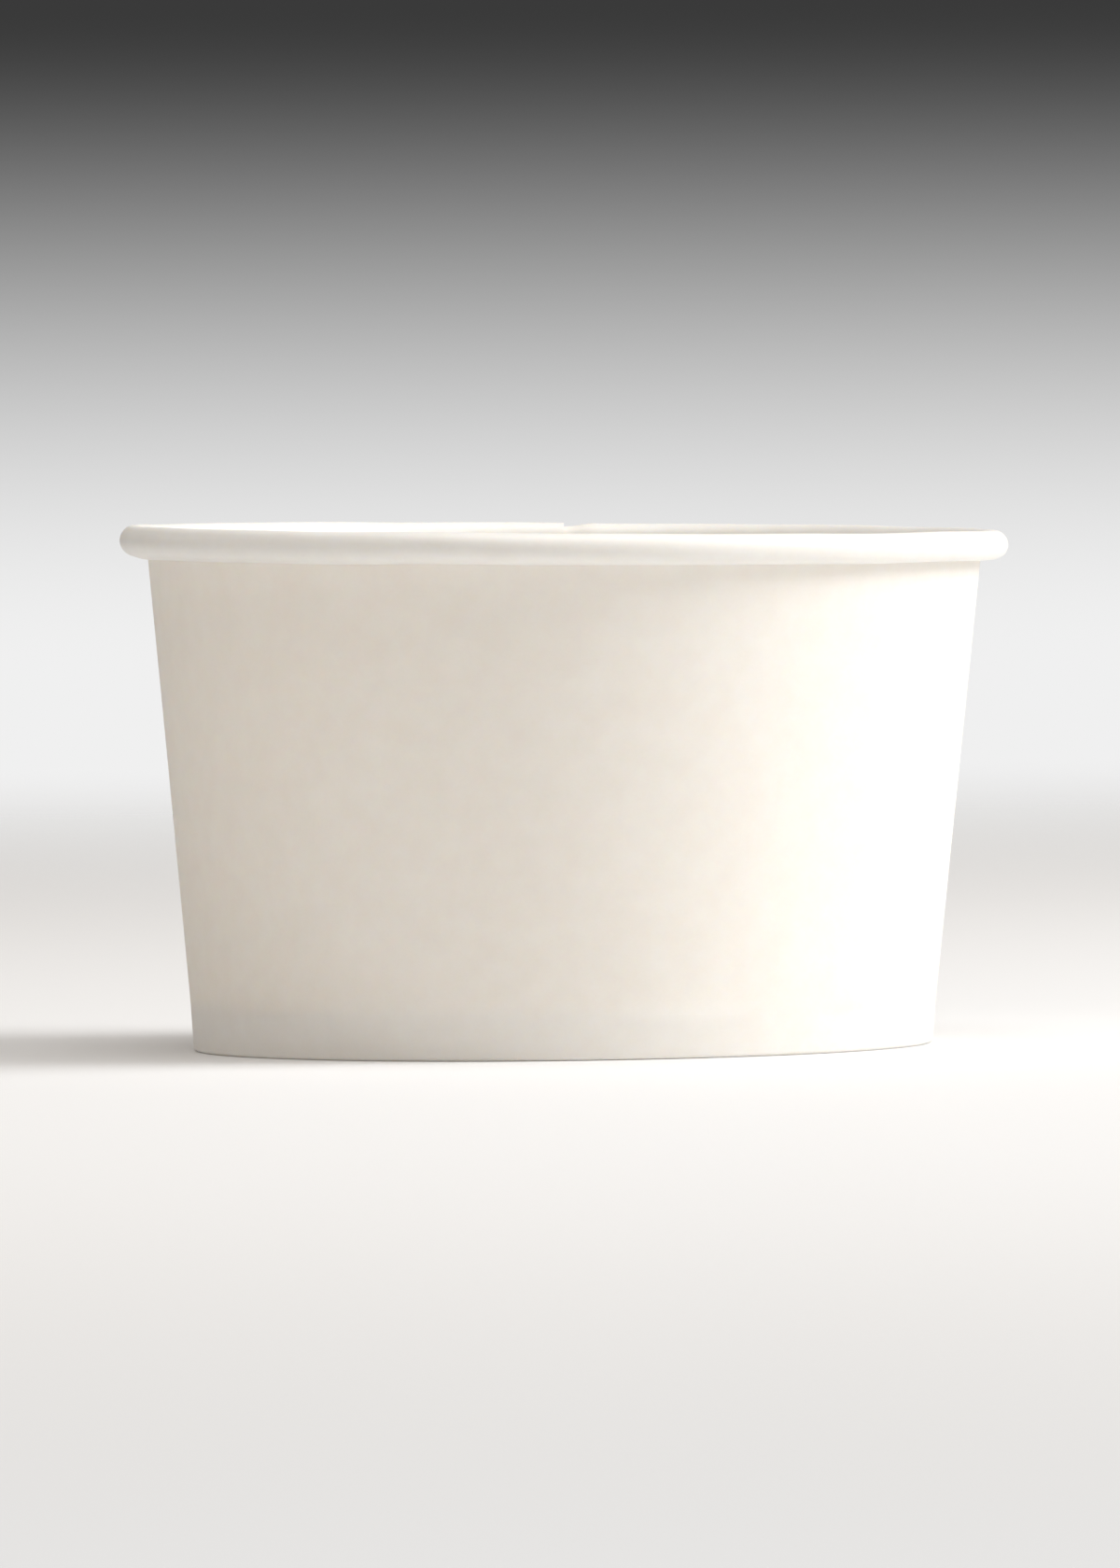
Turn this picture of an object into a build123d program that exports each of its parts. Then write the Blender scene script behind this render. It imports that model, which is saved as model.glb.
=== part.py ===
from build123d import *
import os
from math import copysign, cos, degrees, radians, sin, tan

# Paper sundae cup, in millimetres, +Z up. The origin is the centre of the circle that the cup stands on.
# It is two pieces of coated board. The sidewall is one blank, wrapped into a cone and lapped at the back,
# with its top edge rolled outward and its bottom edge folded inward. The base disc is drawn from flat
# board, and its turned-down flange is clamped between the wall and the folded hem.

# Overall sizes
RIM_DIAMETER = 95.0       # over the rolled rim
CUP_HEIGHT = 55.5         # from the surface it stands on to the top of the rolled rim
WALL_TAPER = 5.6          # degrees from upright
SKIRT_TAPER = 4.3         # degrees from upright, over the crimped foot

# Board
WALL_BOARD = 0.40         # thickness of the sidewall
BASE_BOARD = 0.35         # thickness of the base disc
BOND_CLEARANCE = 0.02     # left between faces that are sealed together

# Rolled rim
RIM_BEAD = 3.2            # height of the roll over its outer faces
ROLL_FLOOR_SLOPE = 8.0    # degrees that the roll's pressed underside drops towards the wall
TUCK_BEND = 0.35          # middle-line radius where the rolled edge turns up beside the wall
TUCK_LENGTH = 0.8         # straight end of the rolled edge

# Foot
HEM_HEIGHT = 4.7          # from the surface it stands on to the hem's cut edge, and to the crimp's top
CRIMP_BEND = 3.0          # middle-line radius where the wall turns into the crimped foot
FOLD_BEND = 0.25          # middle-line radius of the two bends at the bottom of the fold
BASE_CORNER = 0.5         # middle-line radius where the base disc turns down into its flange
BASE_ABOVE_HEM = 0.6      # from the hem's cut edge up to the underside of the base disc
FLANGE_END_GAP = 0.15     # from the inside of the fold up to the flange's cut edge

# Side seam
SEAM_AZIMUTH = 90.0       # degrees from +X to the edge of the inner lap, at the back
SEAM_LAP = 6.5            # width over which the blank's ends overlap
SEAM_RAMP = 3.0           # width over which the outer end climbs onto the inner one

# The roll's centre, and the point where the wall's middle line runs into the roll
ROLL_CENTRE = Vector((RIM_DIAMETER - RIM_BEAD) / 2, 0, CUP_HEIGHT - RIM_BEAD / 2)
ROLL_RADIUS = (RIM_BEAD - WALL_BOARD) / 2
WALL_NORMAL = Vector(cos(radians(WALL_TAPER)), 0, -sin(radians(WALL_TAPER)))
WALL_TOP = ROLL_CENTRE - WALL_NORMAL * ROLL_RADIUS

# Middle lines of the flange and the hem, measured inward from the middle line of the skirt
FLANGE_OFFSET = (WALL_BOARD + BASE_BOARD) / 2 + BOND_CLEARANCE
HEM_OFFSET = 2 * FLANGE_OFFSET
FOLD_TOP = WALL_BOARD / 2 + FOLD_BEND


class BoardPath:
    """Board of even thickness seen edge-on in the XZ plane, drawn along its middle line.

    A heading is in degrees: 0 points outward along +X, and 90 points up.
    """

    def __init__(self, start, heading, board):
        self.point = start
        self.heading = heading
        self.half = board / 2
        self.faces = []

    def direction(self, turn=0.0):
        """Unit vector along the heading, turned left by some degrees."""
        angle = radians(self.heading + turn)
        return Vector(cos(angle), 0, sin(angle))

    def cut_edge(self):
        """The line straight across the board at the present point."""
        aside = self.direction(90) * self.half
        return Edge.make_line(self.point + aside, self.point - aside)

    def run(self, length):
        """Go straight on by a length."""
        aside = self.direction(90) * self.half
        end = self.point + self.direction() * length
        self.faces.append(Edge.make_line(self.point + aside, end + aside))
        self.faces.append(Edge.make_line(self.point - aside, end - aside))
        self.point = end
        return self

    def bend(self, radius, turn):
        """Go round an arc of the middle line: to the left for a positive turn, or to the right."""
        side = copysign(90, turn)
        centre = self.point + self.direction(side) * radius
        spokes = [self.direction(share * turn - side) for share in (0, 0.5, 1)]
        for reach in (radius - self.half, radius + self.half):
            self.faces.append(Edge.make_three_point_arc(*[centre + spoke * reach for spoke in spokes]))
        self.point = centre + spokes[-1] * radius
        self.heading += turn
        return self


def turned(edges):
    """Solid of a closed outline in the XZ plane, revolved once round the Z axis."""
    return revolve(Face(Wire(edges)), Axis.Z, 360)


def wall_radius(height):
    """Radius of the sidewall's middle line at a height between the fold and the roll."""
    crimp_radius = WALL_TOP.X - (WALL_TOP.Z - HEM_HEIGHT) * tan(radians(WALL_TAPER))
    if height >= HEM_HEIGHT:
        return crimp_radius + (height - HEM_HEIGHT) * tan(radians(WALL_TAPER))
    return crimp_radius - (HEM_HEIGHT - height) * tan(radians(SKIRT_TAPER))


def rolled_rim():
    """Path of the rolled edge: up from the wall, outward round the roll, and up again beside the wall."""
    roll = BoardPath(WALL_TOP, 90 - WALL_TAPER, WALL_BOARD)
    roll.bend(ROLL_RADIUS, -(270 - WALL_TAPER - ROLL_FLOOR_SLOPE))
    tuck_centre = roll.point + roll.direction(-90) * TUCK_BEND
    tuck_offset = WALL_BOARD + BOND_CLEARANCE
    spare = (tuck_centre - WALL_TOP).dot(WALL_NORMAL) - TUCK_BEND - tuck_offset
    roll.run(spare / -roll.direction().dot(WALL_NORMAL))
    roll.bend(TUCK_BEND, -(90 + WALL_TAPER + ROLL_FLOOR_SLOPE))
    return roll.run(TUCK_LENGTH)


def wall_and_hem():
    """Path of the wall down from the roll, through the crimped foot and the fold, to the hem's cut edge."""
    lean = radians(SKIRT_TAPER)
    wall = BoardPath(WALL_TOP, -90 - WALL_TAPER, WALL_BOARD)
    wall.run((WALL_TOP.Z - HEM_HEIGHT) / cos(radians(WALL_TAPER)))
    wall.bend(CRIMP_BEND, WALL_TAPER - SKIRT_TAPER)
    wall.run((wall.point.Z - FOLD_TOP + FOLD_BEND * sin(lean)) / cos(lean))
    wall.bend(FOLD_BEND, -(90 - SKIRT_TAPER))
    wall.run((HEM_OFFSET - 2 * FOLD_BEND) / cos(lean))
    wall.bend(FOLD_BEND, -(90 + SKIRT_TAPER))
    return wall.run((HEM_HEIGHT - wall.point.Z) / cos(lean))


def seam_levels(roll):
    """Heights at which the seam's outline is drawn: the fold, the crimp's top and the roll's underside."""
    roll_floor = min(edge.bounding_box().min.Z for edge in roll.faces)
    return FOLD_TOP, HEM_HEIGHT, roll_floor - BOND_CLEARANCE


def seam_side(start, end, height):
    """Level line between (radius, degrees) corners: straight along a radius, or an evenly widening arc."""
    middle = ((start[0] + end[0]) / 2, (start[1] + end[1]) / 2)
    places = [Vector(radius, 0, height).rotate(Axis.Z, angle) for radius, angle in (start, middle, end)]
    if start[1] == end[1]:
        return Edge.make_line(places[0], places[-1])
    return Edge.make_three_point_arc(*places)


def seam_outline(corners, height):
    """Closed level outline through (radius, degrees) corners."""
    return Wire([seam_side(start, end, height) for start, end in zip(corners, corners[1:] + corners[:1])])


def seam_angles():
    """Degrees at which the climb starts, the inner end is cut, and the outer end is cut."""
    mid_radius = wall_radius(CUP_HEIGHT / 2)
    climb = SEAM_AZIMUTH - degrees(SEAM_RAMP / mid_radius)
    return climb, SEAM_AZIMUTH, SEAM_AZIMUTH + degrees(SEAM_LAP / mid_radius)


def outer_lap(levels):
    """Outer end of the blank: it climbs by one board, lies on the inner end, and is cut off square."""
    climb, inner_cut, outer_cut = seam_angles()
    board = WALL_BOARD / cos(radians(WALL_TAPER))
    outlines = []
    for height in levels:
        middle = wall_radius(height)
        outside = middle + board / 2
        corners = [(middle, climb), (outside, climb), (outside + board, inner_cut),
                   (outside + board, outer_cut), (middle, outer_cut)]
        outlines.append(seam_outline(corners, height))
    return Solid.make_loft(outlines, ruled=True)


def climb_hollow(levels):
    """Hollow inside the wall, behind the climb, that ends at the inner end's cut edge.

    The cutter starts half a base board inside the wall, so it stays clear of the hem.
    """
    climb, inner_cut, _ = seam_angles()
    board = WALL_BOARD / cos(radians(WALL_TAPER))
    outlines = []
    for height in levels:
        inside = wall_radius(height) - board / 2
        clear = inside - BASE_BOARD / 2
        corners = [(clear, climb), (inside, climb), (inside + board, inner_cut), (clear, inner_cut)]
        outlines.append(seam_outline(corners, height))
    return Solid.make_loft(outlines, ruled=True)


def make_sidewall():
    """The wrapped blank: rolled rim, conical wall, crimped foot, fold and hem, with its lapped seam."""
    roll = rolled_rim()
    wall = wall_and_hem()
    cone = turned(roll.faces + [roll.cut_edge()] + wall.faces + [wall.cut_edge()])
    levels = seam_levels(roll)
    return cone + outer_lap(levels) - climb_hollow(levels)


def make_base_disc():
    """The recessed base: a flat disc whose edge turns down into a flange inside the fold."""
    lean = radians(SKIRT_TAPER)
    flange_end = WALL_BOARD + FLANGE_END_GAP
    start = Vector(wall_radius(flange_end) - FLANGE_OFFSET / cos(lean), 0, flange_end)
    disc_middle = HEM_HEIGHT + BASE_ABOVE_HEM + BASE_BOARD / 2
    flange = BoardPath(start, 90 - SKIRT_TAPER, BASE_BOARD)
    cut = flange.cut_edge()
    flange.run((disc_middle - BASE_CORNER * (1 + sin(lean)) - flange_end) / cos(lean))
    flange.bend(BASE_CORNER, 90 + SKIRT_TAPER)
    flange.run(flange.point.X)
    return turned(flange.faces + [cut, flange.cut_edge()])


os.makedirs("parts", exist_ok=True)
export_step(make_sidewall(), "parts/sidewall.step")
export_step(make_base_disc(), "parts/base_disc.step")
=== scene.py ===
"""Looks of a paper sundae cup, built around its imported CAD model. Metres, +Z up, the front along -Y."""

import logging
import math
from dataclasses import dataclass, field
from enum import Enum

import bpy
import numpy as np
from mathutils import Matrix, Vector


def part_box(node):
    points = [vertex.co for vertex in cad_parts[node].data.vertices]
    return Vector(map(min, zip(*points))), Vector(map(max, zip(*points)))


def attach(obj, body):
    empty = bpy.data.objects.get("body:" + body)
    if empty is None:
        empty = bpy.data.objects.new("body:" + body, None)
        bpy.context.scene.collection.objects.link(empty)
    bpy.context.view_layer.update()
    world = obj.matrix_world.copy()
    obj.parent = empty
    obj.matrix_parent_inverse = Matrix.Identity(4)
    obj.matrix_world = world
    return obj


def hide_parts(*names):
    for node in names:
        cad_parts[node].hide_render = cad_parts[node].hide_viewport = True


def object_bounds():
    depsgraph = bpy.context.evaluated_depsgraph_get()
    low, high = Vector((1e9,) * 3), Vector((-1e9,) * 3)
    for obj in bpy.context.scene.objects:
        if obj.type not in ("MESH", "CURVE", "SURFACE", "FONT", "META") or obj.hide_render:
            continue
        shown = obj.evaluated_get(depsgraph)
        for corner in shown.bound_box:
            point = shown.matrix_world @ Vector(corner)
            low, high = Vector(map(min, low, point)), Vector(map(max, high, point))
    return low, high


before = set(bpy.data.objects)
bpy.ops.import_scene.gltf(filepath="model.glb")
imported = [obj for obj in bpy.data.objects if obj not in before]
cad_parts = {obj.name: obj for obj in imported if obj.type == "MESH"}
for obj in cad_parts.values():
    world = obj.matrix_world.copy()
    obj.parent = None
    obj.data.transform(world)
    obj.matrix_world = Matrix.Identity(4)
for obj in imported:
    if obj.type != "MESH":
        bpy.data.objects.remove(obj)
CAD_LOW, CAD_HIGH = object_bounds()

LOG = logging.getLogger("sundae_cup")
MM = 0.001
RIM_RADIUS = CAD_HIGH.x
CUP_HEIGHT = CAD_HIGH.z


class Turn(Enum):
    """Which way a board bends as its middle line is followed, and which side of the line is meant."""

    LEFT = 1.0
    RIGHT = -1.0


class Face(Enum):
    """Faces of a sheet of board, in the order of its material slots."""

    OUTSIDE = 0
    INSIDE = 1
    CUT = 2


# ---------------------------------------------------------------------------------------------------
# Small helpers


def linear(code: str) -> tuple[float, float, float, float]:
    """Turn an sRGB hex colour into linear values.

    Args:
        code: six hex digits, such as "f2efe9".

    Returns:
        Linear red, green and blue, and an alpha of one.
    """
    shares = [int(code[i:i + 2], 16) / 255 for i in (0, 2, 4)]
    values = [c / 12.92 if c <= 0.04045 else ((c + 0.055) / 1.055) ** 2.4 for c in shares]
    return (*values, 1.0)


def smooth(share: np.ndarray) -> np.ndarray:
    """Ease a share from 0 to 1 with level ends."""
    held = np.clip(share, 0.0, 1.0)
    return held * held * (3.0 - 2.0 * held)


def ripple(angle: np.ndarray, waves: tuple[tuple[int, float], ...]) -> np.ndarray:
    """Add up a few cosines round the cup, for the small unevenness of formed board.

    Args:
        angle: azimuths, in radians.
        waves: for each cosine, how many waves go round the cup and where it starts, in radians.

    Returns:
        Values between about -1 and 1.
    """
    total = sum(np.cos(count * angle + start) for count, start in waves)
    return total / math.sqrt(len(waves))


def add_node(tree: bpy.types.NodeTree, kind: str, settings: dict | None = None,
             links: dict | None = None) -> bpy.types.Node:
    """Add one shader node with its settings and its incoming links.

    Args:
        tree: the node tree to add to.
        kind: Blender's name for the node type.
        settings: values for the node's own properties, or for inputs by name or number.
        links: for an input by name or number, the output socket that feeds it.

    Returns:
        The new node.
    """
    node = tree.nodes.new(kind)
    for key, value in (settings or {}).items():
        if isinstance(key, str) and hasattr(node, key):
            setattr(node, key, value)
        else:
            node.inputs[key].default_value = value
    for key, socket in (links or {}).items():
        tree.links.new(socket, node.inputs[key])
    return node


def lean(points: np.ndarray) -> np.ndarray:
    """Give points the slight skew of a cup off the forming mandrel: it leans, and its rim is not quite level.

    Args:
        points: places on the true cup, as rows of x, y and z.

    Returns:
        The skewed places. The foot stays where it is.
    """
    rim_lean = 0.75 * MM
    rim_tilt = math.tan(math.radians(0.976))
    share = points[:, 2] / CUP_HEIGHT
    moved = points.copy()
    moved[:, 0] += rim_lean * share
    moved[:, 2] -= rim_tilt * points[:, 0] * share
    return moved


# ---------------------------------------------------------------------------------------------------
# Board


class BoardTrace:
    """Middle line of a board, traced in every upright plane through the cup's axis at once.

    Each plane is a column. Sizes may be one number or one for each column.
    """

    def __init__(self, radius: np.ndarray, height: np.ndarray, heading: float, outer: Turn) -> None:
        """Start the line.

        Args:
            radius: distance of the start from the axis, for each column.
            height: height of the start, for each column.
            heading: direction of travel in degrees, 0 outward and 90 up.
            outer: the side of the line that the board's outside face is on.
        """
        self.place = np.stack(np.broadcast_arrays(radius, height), axis=-1).astype(float)
        self.heading = np.full(len(self.place), math.radians(heading))
        self.outer = outer
        self.places = [self.place]
        self.normals = [self.aside(outer)]

    def aside(self, turn: Turn) -> np.ndarray:
        """Return unit vectors square to the line, towards one side of it."""
        angle = self.heading + turn.value * math.pi / 2
        return np.stack([np.cos(angle), np.sin(angle)], axis=-1)

    def ahead(self) -> np.ndarray:
        """Return unit vectors along the line."""
        return np.stack([np.cos(self.heading), np.sin(self.heading)], axis=-1)

    def run(self, length: np.ndarray | float, steps: int) -> None:
        """Go straight on.

        Args:
            length: how far.
            steps: how many rows to record on the way.
        """
        start = self.place
        reach = np.broadcast_to(length, self.heading.shape)[:, None]
        for step in range(1, steps + 1):
            self.place = start + self.ahead() * reach * (step / steps)
            self.record()

    def bend(self, radius: np.ndarray | float, degrees: np.ndarray | float, turn: Turn, steps: int) -> None:
        """Go round an arc.

        Args:
            radius: radius of the middle line.
            degrees: how far round, always positive.
            turn: which way.
            steps: how many rows to record on the way.
        """
        spoke = np.broadcast_to(radius, self.heading.shape)[:, None]
        centre = self.place + self.aside(turn) * spoke
        start = self.heading
        for step in range(1, steps + 1):
            self.heading = start + turn.value * np.radians(degrees) * (step / steps)
            self.place = centre - self.aside(turn) * spoke
            self.record()

    def record(self) -> None:
        """Keep the present place as a row."""
        self.places.append(self.place)
        self.normals.append(self.aside(self.outer))


@dataclass
class Sheet:
    """A board as rows and columns of points on its middle surface, in radius and height.

    Attributes:
        angles: azimuth of each column, in radians from +X.
        places: radius and height, by row and column.
        normals: unit vectors towards the outside face, by row and column.
        thickness: of the board.
        closed: whether the last column joins the first.
        capped: whether the last row closes over the cup's axis.
    """

    angles: np.ndarray
    places: np.ndarray
    normals: np.ndarray
    thickness: float
    closed: bool
    capped: bool
    outside_dent: np.ndarray | float = 0.0

    def surface(self, face: Face) -> np.ndarray:
        """Return the points of one face, as rows of x, y and z."""
        half = self.thickness / 2
        offset = half - self.outside_dent if face is Face.OUTSIDE else -half
        flat = self.places + self.normals * np.broadcast_to(offset, self.places.shape[:2])[..., None]
        radius, height = flat[..., 0], flat[..., 1]
        points = np.stack([radius * np.cos(self.angles), radius * np.sin(self.angles), height], axis=-1)
        return lean(points.reshape(-1, 3))

    def mesh(self, name: str) -> bpy.types.Mesh:
        """Build the closed mesh of the board, with a material slot number for each kind of face."""
        rows, columns = self.places.shape[:2]
        count = rows * columns
        index = np.arange(count).reshape(rows, columns)
        if self.closed:
            index = np.concatenate([index, index[:, :1]], axis=1)
        faces, slots = [], []

        def add(block: np.ndarray, slot: Face) -> None:
            faces.extend(block.tolist())
            slots.extend([slot.value] * len(block))

        low, high = index[:-1], index[1:]
        quads = np.stack([low[:, :-1], high[:, :-1], high[:, 1:], low[:, 1:]], axis=-1).reshape(-1, 4)
        add(quads, Face.OUTSIDE)
        add(quads[:, ::-1] + count, Face.INSIDE)
        first = index[0]
        add(np.stack([first[:-1], first[1:], first[1:] + count, first[:-1] + count], axis=-1), Face.CUT)
        if not self.capped:
            last = index[-1]
            add(np.stack([last[1:], last[:-1], last[:-1] + count, last[1:] + count], axis=-1), Face.CUT)
        if not self.closed:
            start, end = index[:, 0], index[:, -1]
            add(np.stack([start[1:], start[:-1], start[:-1] + count, start[1:] + count], axis=-1), Face.CUT)
            add(np.stack([end[:-1], end[1:], end[1:] + count, end[:-1] + count], axis=-1), Face.CUT)
        points = np.concatenate([self.surface(Face.OUTSIDE), self.surface(Face.INSIDE)])
        if self.capped:
            tops = [points[index[-1, :-1] + shift].mean(axis=0) for shift in (0, count)]
            points = np.concatenate([points, tops])
            rim = index[-1]
            centre = np.full(len(rim) - 1, 2 * count)
            add(np.stack([rim[:-1], centre, rim[1:]], axis=-1), Face.OUTSIDE)
            add(np.stack([rim[1:] + count, centre + 1, rim[:-1] + count], axis=-1), Face.INSIDE)
        mesh = bpy.data.meshes.new(name)
        mesh.from_pydata(points.tolist(), [], faces)
        mesh.polygons.foreach_set("material_index", slots)
        mesh.polygons.foreach_set("use_smooth", [True] * len(faces))
        mesh.set_sharp_from_angle(angle=math.radians(50))
        mesh.validate()
        return mesh


# ---------------------------------------------------------------------------------------------------
# The cup's two pieces


@dataclass
class Foot:
    """Sizes of the folded and crimped foot, which both pieces share."""

    hem_height: float = 4.7 * MM
    skirt_taper: float = 4.3
    wall_board: float = 0.40 * MM
    base_board: float = 0.35 * MM
    seal: float = 0.02 * MM
    fold_bend: float = 0.25 * MM

    @property
    def hem_offset(self) -> float:
        """Distance between the middle lines of the skirt and the hem."""
        return self.wall_board + self.base_board + 2 * self.seal


@dataclass
class Seam:
    """The lapped side seam: where it is, and how the blank's ends stack there."""

    azimuth: float = math.radians(90)
    lap: float = 6.5 * MM
    ramp: float = 3.0 * MM
    radius: float = 41.9 * MM

    def climb(self, turned: np.ndarray) -> np.ndarray:
        """Share of a board that the outer end has climbed, for angles round the blank from its inner end."""
        ramp = self.ramp / self.radius
        return smooth((turned - (2 * math.pi - ramp)) / ramp)

    def stack(self, turned: np.ndarray) -> np.ndarray:
        """Share of a second board that is stacked at angles round the blank from its inner end."""
        ramp, lap = self.ramp / self.radius, self.lap / self.radius
        angle = np.mod(turned, 2 * math.pi)
        return smooth((angle - (2 * math.pi - ramp)) / ramp) + smooth((lap + ramp - angle) / ramp)


@dataclass
class Sidewall:
    """The wrapped blank: rolled rim, conical wall, crimped foot, fold and hem, and the lapped seam."""

    foot: Foot
    seam: Seam
    taper: float = 5.6
    bead: float = 3.2 * MM
    roll_floor_slope: float = 9.0
    roll_floor_slope_change: float = 8.0
    tuck_bend: float = 0.35 * MM
    lapped_tuck_bend: float = 0.65 * MM
    tuck_length: float = 0.8 * MM
    wall_ripple: float = 0.05 * MM
    rim_ripple: float = 0.05 * MM
    rib_pitch: float = 1.65 * MM
    rib_depth: float = 0.10 * MM
    columns: int = 600

    def __post_init__(self) -> None:
        """Work out where the columns stand."""
        whole = 2 * math.pi + self.seam.lap / self.seam.radius
        self.turned = np.linspace(0.0, whole, self.columns)
        self.angles = self.turned + self.seam.azimuth
        self.climb = self.seam.climb(self.turned)
        self.stack = self.seam.stack(self.turned)

    def wall_top(self) -> tuple[np.ndarray, np.ndarray]:
        """Return the radius and height where the wall's middle line runs into the roll, for each column."""
        waves = ((2, 0.4), (5, 2.1), (9, 4.0), (14, 1.2))
        rise = self.rim_ripple * ripple(self.angles, waves) - self.rim_ripple
        reach = (self.bead - self.foot.wall_board) / 2
        lean_angle = math.radians(self.taper)
        radius = RIM_RADIUS - self.bead / 2 - reach * math.cos(lean_angle)
        height = CUP_HEIGHT - self.bead / 2 + reach * math.sin(lean_angle) + rise
        return np.full(self.columns, radius), height

    def roll(self) -> BoardTrace:
        """Trace the rim: up from the wall, outward round the roll, and up again beside the wall."""
        board = self.foot.wall_board
        radius, height = self.wall_top()
        start = np.stack([radius, height], axis=-1)
        line = BoardTrace(radius, height, 90 - self.taper, Turn.RIGHT)
        out = line.aside(Turn.RIGHT)
        slope = self.roll_floor_slope - self.roll_floor_slope_change * np.cos(self.angles)
        line.bend((self.bead - board) / 2, 270 - self.taper - slope, Turn.RIGHT, 26)
        tuck = self.tuck_bend + (self.lapped_tuck_bend - self.tuck_bend) * self.stack
        beside = board * (1 + self.stack) + self.foot.seal
        centre = line.place + line.aside(Turn.RIGHT) * tuck[:, None]
        spare = np.sum((centre - start) * out, axis=-1) - tuck - beside
        line.run(spare / -np.sum(line.ahead() * out, axis=-1), 2)
        line.bend(tuck, 90 + self.taper + slope, Turn.RIGHT, 6)
        line.run(self.tuck_length, 1)
        return line

    def wall(self) -> BoardTrace:
        """Trace the wall down from the roll, through the crimped foot and the fold, to the hem's edge."""
        foot = self.foot
        radius, height = self.wall_top()
        line = BoardTrace(radius, height, -90 - self.taper, Turn.LEFT)
        lean_angle = math.radians(foot.skirt_taper)
        fold_height = foot.wall_board * (0.5 + self.stack) + foot.fold_bend
        line.run((height - foot.hem_height) / math.cos(math.radians(self.taper)), 18)
        line.bend(1.5 * MM, self.taper - foot.skirt_taper, Turn.LEFT, 2)
        drop = line.place[:, 1] - fold_height + foot.fold_bend * math.sin(lean_angle)
        line.run(drop / math.cos(lean_angle), 5)
        line.bend(foot.fold_bend, 90 - foot.skirt_taper, Turn.RIGHT, 5)
        line.run((foot.hem_offset - 2 * foot.fold_bend) / math.cos(lean_angle), 1)
        line.bend(foot.fold_bend, 90 + foot.skirt_taper, Turn.RIGHT, 5)
        line.run((foot.hem_height - line.place[:, 1]) / math.cos(lean_angle), 5)
        return line

    def ribs(self, rows: int, hem_rows: int) -> np.ndarray:
        """Depth of the crimping wheel's ribs in the hem's open face, by row and column."""
        count = round(2 * math.pi * self.seam.radius / self.rib_pitch)
        wave = 0.5 + 0.5 * np.cos(count * self.angles)
        depth = np.zeros((rows, self.columns))
        depth[-hem_rows:-1] = self.rib_depth * wave
        return depth

    def sheet(self) -> Sheet:
        """Join both traces into one board, with the outer end lifted onto the inner one."""
        roll, wall = self.roll(), self.wall()
        places = np.array(roll.places[::-1] + wall.places[1:])
        normals = np.array(roll.normals[::-1] + wall.normals[1:])
        places = places + normals * (self.foot.wall_board * self.climb)[None, :, None]
        rows = len(places)
        wall_rows = np.arange(rows)[:, None]
        middle = (len(roll.places) + 9) / rows
        swell = np.exp(-(((wall_rows / rows) - middle) / 0.12) ** 2)
        waves = ((3, 0.9), (4, 2.7), (7, 5.1))
        uneven = self.wall_ripple * ripple(self.angles, waves)[None, :] * swell
        places = places + normals * uneven[..., None]
        return Sheet(self.angles, places, normals, self.foot.wall_board, False, False, self.ribs(rows, 6))

    def build(self) -> bpy.types.Object:
        """Make the sidewall as a Blender object."""
        return bpy.data.objects.new("sidewall_board", self.sheet().mesh("sidewall_board"))


@dataclass
class BaseDisc:
    """The recessed base: a flat disc whose edge turns down into a flange inside the fold."""

    foot: Foot
    seam: Seam
    taper: float = 5.6
    wall_top_radius: float = 44.507 * MM
    corner: float = 0.5 * MM
    above_hem: float = 0.6 * MM
    flange_end_gap: float = 0.15 * MM
    sag: float = 0.25 * MM
    pucker_depth: float = 0.05 * MM
    pucker_pitch: float = 1.9 * MM
    columns: int = 420

    def sheet(self) -> Sheet:
        """Trace the flange, the corner and the disc."""
        foot = self.foot
        lean_angle = math.radians(foot.skirt_taper)
        angles = np.linspace(0.0, 2 * math.pi, self.columns, endpoint=False)
        stack = self.seam.stack(angles - self.seam.azimuth)
        box_low, box_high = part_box("base_disc")
        disc_middle = box_high.z - foot.base_board / 2
        bottom = foot.wall_board * (1 + stack) + self.flange_end_gap
        outer = box_high.x - foot.base_board / 2 * math.cos(lean_angle)
        corner_height = disc_middle - self.corner * (1 + math.sin(lean_angle))
        radius = outer - (corner_height - bottom) * math.tan(lean_angle)
        line = BoardTrace(radius, bottom, 90 - foot.skirt_taper, Turn.RIGHT)
        line.run((corner_height - bottom) / math.cos(lean_angle), 3)
        line.bend(self.corner, 90 + foot.skirt_taper, Turn.LEFT, 8)
        corner_rows = len(line.places)
        edge = line.place[:, 0].copy()
        for share in (0.012, 0.015, 0.02, 0.03, 0.05, 0.08, 0.12, 0.15, 0.17, 0.16, 0.1, 0.06):
            line.run(edge * share, 1)
        places, normals = np.array(line.places), np.array(line.normals)
        inward = np.clip(1 - places[..., 0] / edge, 0, 1)
        places[..., 1] -= self.sag * smooth(inward * 1.6)
        count = round(2 * math.pi * outer / self.pucker_pitch)
        waves = ((count, 0.0), (count + 7, 1.0), (count - 11, 2.0))
        fade = np.exp(-(inward * edge / (1.6 * MM)) ** 2)
        fade[:corner_rows - 4] = 0.0
        places[..., 1] += self.pucker_depth * ripple(angles, waves) * fade
        return Sheet(angles, places, normals, foot.base_board, True, True)

    def build(self) -> bpy.types.Object:
        """Make the base disc as a Blender object."""
        return bpy.data.objects.new("base_disc_board", self.sheet().mesh("base_disc_board"))


# ---------------------------------------------------------------------------------------------------
# Finishes


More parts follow.
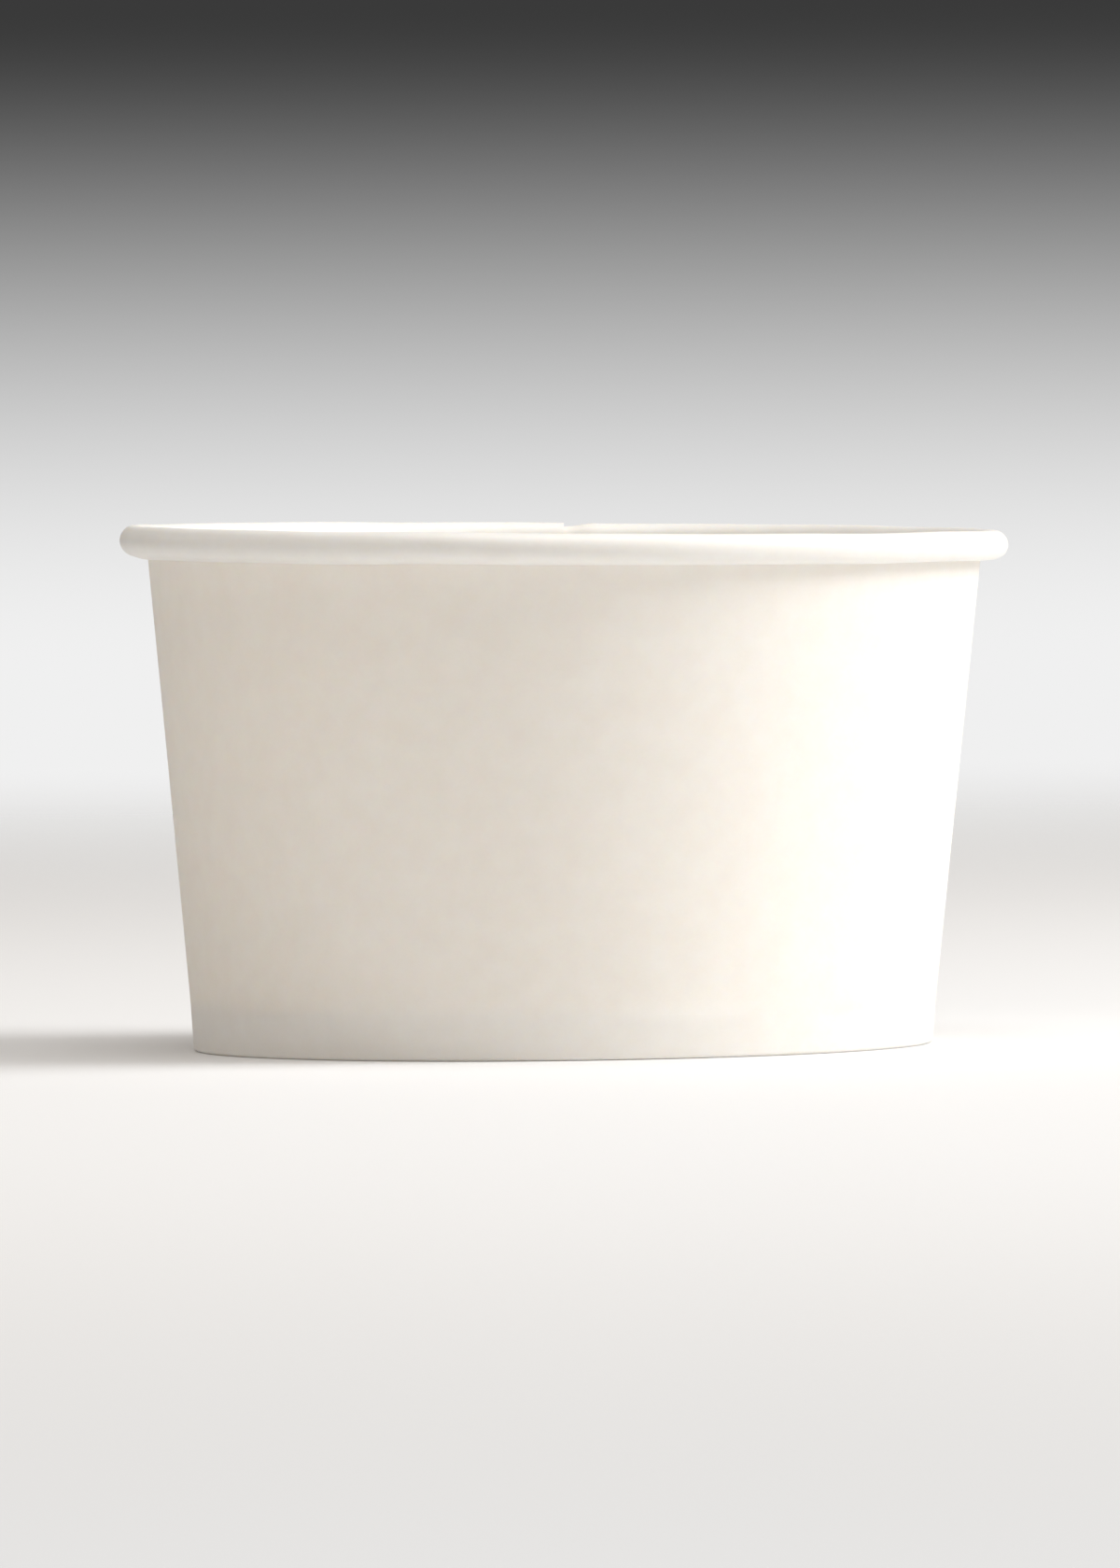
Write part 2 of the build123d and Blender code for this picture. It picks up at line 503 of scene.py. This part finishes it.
@dataclass(frozen=True)
class CoatedBoard:
    """Bleached sulphate cup board under a thin extruded polyethylene coat.

    The pulp is a warm off-white with a faint cloudy formation, a few millimetres across, and a fine tooth
    where fibres show through the coat. The coat gives a soft, low sheen.
    """

    name: str
    pale: str
    deep: str
    roughness: float
    tooth_depth: float
    scatter: float = 0.5
    cloud_size: float = 3.0 * MM
    fibre_size: float = 0.30 * MM

    def material(self) -> bpy.types.Material:
        """Build the node material."""
        made = bpy.data.materials.new(self.name)
        made.use_nodes = True
        tree = made.node_tree
        tree.nodes.clear()
        place = add_node(tree, "ShaderNodeTexCoord").outputs["Object"]
        clouds = add_node(tree, "ShaderNodeTexNoise",
                          {"Scale": 1 / self.cloud_size, "Detail": 3.0, "Roughness": 0.55}, {"Vector": place})
        fibres = add_node(tree, "ShaderNodeTexNoise",
                          {"Scale": 1 / self.fibre_size, "Detail": 2.0, "Roughness": 0.6}, {"Vector": place})
        blend = add_node(tree, "ShaderNodeMath", {"operation": "MULTIPLY_ADD", 1: 0.35},
                         {0: fibres.outputs["Fac"], 2: clouds.outputs["Fac"]})
        share = add_node(tree, "ShaderNodeMapRange", {"From Min": 0.45, "From Max": 0.9},
                         {"Value": blend.outputs[0]})
        colour = add_node(tree, "ShaderNodeMix", {"data_type": "RGBA", 6: linear(self.deep),
                                                  7: linear(self.pale)}, {0: share.outputs[0]})
        rough = add_node(tree, "ShaderNodeMapRange",
                         {"To Min": self.roughness - 0.05, "To Max": self.roughness + 0.05},
                         {"Value": clouds.outputs["Fac"]})
        tooth = add_node(tree, "ShaderNodeBump", {"Strength": 1.0, "Distance": self.tooth_depth},
                         {"Height": fibres.outputs["Fac"]})
        shader = add_node(tree, "ShaderNodeBsdfPrincipled",
                          {"IOR": 1.5, "Subsurface Weight": self.scatter,
                           "Subsurface Radius": (1.0, 0.85, 0.65), "Subsurface Scale": 0.4 * MM},
                          {"Base Color": colour.outputs[2], "Roughness": rough.outputs[0],
                           "Normal": tooth.outputs[0]})
        add_node(tree, "ShaderNodeOutputMaterial", None, {"Surface": shader.outputs[0]})
        return made


# ---------------------------------------------------------------------------------------------------
# Stage


@dataclass
class StudioCamera:
    """A long lens, a little above the rim, looking slightly down."""

    distance: float = 1.966
    height: float = 0.0802
    pitch: float = -1.52
    roll: float = -0.691
    lens: float = 422.0

    def build(self) -> bpy.types.Object:
        """Make the camera and hand it to the scene."""
        data = bpy.data.cameras.new("studio_camera")
        data.lens = self.lens
        data.sensor_width = 36.0
        data.clip_start, data.clip_end = 0.05, 60.0
        camera = bpy.data.objects.new("studio_camera", data)
        camera.location = (0.0, -self.distance, self.height)
        aim = Matrix.Rotation(math.radians(90 + self.pitch), 4, "X")
        turn = Matrix.Rotation(math.radians(self.roll), 4, "Z")
        camera.rotation_euler = (aim @ turn).to_euler()
        bpy.context.scene.collection.objects.link(camera)
        bpy.context.scene.camera = camera
        return camera


@dataclass
class SoftBox:
    """A diffused studio lamp, aimed at the cup."""

    name: str
    azimuth: float
    elevation: float
    distance: float
    size: float
    power: float
    colour: str = "ffffff"

    def build(self) -> bpy.types.Object:
        """Make the lamp. Azimuth 0 is in front of the cup, and 90 to its right."""
        data = bpy.data.lights.new(self.name, "AREA")
        data.shape = "DISK"
        data.size = self.size
        data.energy = self.power
        data.color = linear(self.colour)[:3]
        side, up = math.radians(self.azimuth), math.radians(self.elevation)
        away = Vector((math.sin(side) * math.cos(up), -math.cos(side) * math.cos(up), math.sin(up)))
        lamp = bpy.data.objects.new(self.name, data)
        lamp.location = away * self.distance
        lamp.rotation_euler = away.to_track_quat("Z", "Y").to_euler()
        bpy.context.scene.collection.objects.link(lamp)
        return lamp


@dataclass
class Floor:
    """A matt pale table top that fades out at its edge into the backdrop."""

    radius: float = 3.0
    fade_start: float = 0.35
    fade_end: float = 1.2

    def material(self) -> bpy.types.Material:
        """Matt laminate: even, pale and without a pattern."""
        made = bpy.data.materials.new("matt_white_laminate")
        made.use_nodes = True
        tree = made.node_tree
        tree.nodes.clear()
        place = add_node(tree, "ShaderNodeTexCoord").outputs["Object"]
        length = add_node(tree, "ShaderNodeVectorMath", {"operation": "LENGTH"}, {0: place})
        fade = add_node(tree, "ShaderNodeMapRange",
                        {"interpolation_type": "SMOOTHSTEP", "From Min": self.fade_start,
                         "From Max": self.fade_end}, {"Value": length.outputs["Value"]})
        solid = add_node(tree, "ShaderNodeBsdfPrincipled",
                         {"Base Color": linear("eeeeee"), "Roughness": 0.7, "Specular IOR Level": 0.3})
        clear = add_node(tree, "ShaderNodeBsdfTransparent")
        mixed = add_node(tree, "ShaderNodeMixShader", None,
                         {0: fade.outputs[0], 1: solid.outputs[0], 2: clear.outputs[0]})
        add_node(tree, "ShaderNodeOutputMaterial", None, {"Surface": mixed.outputs[0]})
        return made

    def build(self) -> bpy.types.Object:
        """Make the floor as a flat square."""
        mesh = bpy.data.meshes.new("table_top")
        reach = self.radius
        mesh.from_pydata([(-reach, -reach, 0), (reach, -reach, 0), (reach, reach, 0), (-reach, reach, 0)],
                         [], [(0, 1, 2, 3)])
        mesh.materials.append(self.material())
        floor = bpy.data.objects.new("table_top", mesh)
        bpy.context.scene.collection.objects.link(floor)
        return floor


@dataclass
class Backdrop:
    """A grey paper sweep, seen as the world's colour: its tone is painted shade, dark above and pale towards
    the table.
    """

    # Painted shade: the sweep runs from this dark grey at the top to this pale grey by the table.
    top: str = "3a3a3a"
    bottom: str = "f0f0f0"
    fill: float = 0.5

    def build(self) -> None:
        """Set the world's shader."""
        world = bpy.data.worlds.new("paper_sweep")
        bpy.context.scene.world = world
        world.use_nodes = True
        tree = world.node_tree
        tree.nodes.clear()
        way = add_node(tree, "ShaderNodeTexCoord").outputs["Generated"]
        parts = add_node(tree, "ShaderNodeSeparateXYZ", None, {0: way})
        # Painted shade: the camera's view of the world darkens from the table upward.
        rise = add_node(tree, "ShaderNodeMapRange",
                        {"interpolation_type": "SMOOTHSTEP", "From Min": -0.02, "From Max": 0.016},
                        {"Value": parts.outputs["Z"]})
        seen = add_node(tree, "ShaderNodeMix", {"data_type": "RGBA", 6: linear(self.bottom),
                                                7: linear(self.top)}, {0: rise.outputs[0]})
        shown = add_node(tree, "ShaderNodeBackground", None, {"Color": seen.outputs[2]})
        front = add_node(tree, "ShaderNodeMapRange",
                         {"From Min": -1.0, "From Max": 1.0, "To Min": 1.0, "To Max": 0.45},
                         {"Value": parts.outputs["Y"]})
        lit = add_node(tree, "ShaderNodeBackground", {"Color": linear("fff6ec")},
                       {"Strength": add_node(tree, "ShaderNodeMath", {"operation": "MULTIPLY", 1: self.fill},
                                             {0: front.outputs[0]}).outputs[0]})
        eye = add_node(tree, "ShaderNodeLightPath").outputs["Is Camera Ray"]
        both = add_node(tree, "ShaderNodeMixShader", None, {0: eye, 1: lit.outputs[0], 2: shown.outputs[0]})
        add_node(tree, "ShaderNodeOutputWorld", None, {"Surface": both.outputs[0]})


# ---------------------------------------------------------------------------------------------------


def keep_piece(piece: bpy.types.Object, node: str, finishes: list[bpy.types.Material]) -> None:
    """Dress a piece, hang it under the root body, and hide the CAD node that it stands for.

    Args:
        piece: the finished object.
        node: the CAD node.
        finishes: materials in the order of the piece's slots.
    """
    for finish in finishes:
        piece.data.materials.append(finish)
    bpy.context.scene.collection.objects.link(piece)
    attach(piece, "root")
    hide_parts(node)
    LOG.info("%s: %d faces", piece.name, len(piece.data.polygons))


def main() -> None:
    """Build the cup and its studio."""
    logging.basicConfig(level=logging.INFO)
    bpy.context.scene.view_settings.view_transform = "Standard"
    foot, seam = Foot(), Seam()
    outside = CoatedBoard("cup_board_outside", "f3f0eb", "f0ece6", 0.62, 0.006 * MM).material()
    inside = CoatedBoard("cup_board_inside", "f4f2ee", "f1eee9", 0.45, 0.004 * MM).material()
    raw = CoatedBoard("cup_board_raw_edge", "e6dccb", "cdbfa8", 0.85, 0.03 * MM).material()
    keep_piece(Sidewall(foot, seam).build(), "sidewall", [outside, inside, raw])
    keep_piece(BaseDisc(foot, seam).build(), "base_disc", [inside, outside, raw])
    StudioCamera().build()
    Floor().build()
    Backdrop().build()
    SoftBox("key_softbox", 85, 35, 1.2, 0.7, 12.0).build()
    SoftBox("overhead_softbox", 0, 85, 1.2, 1.0, 6.0).build()


if __name__ == "__main__":
    main()
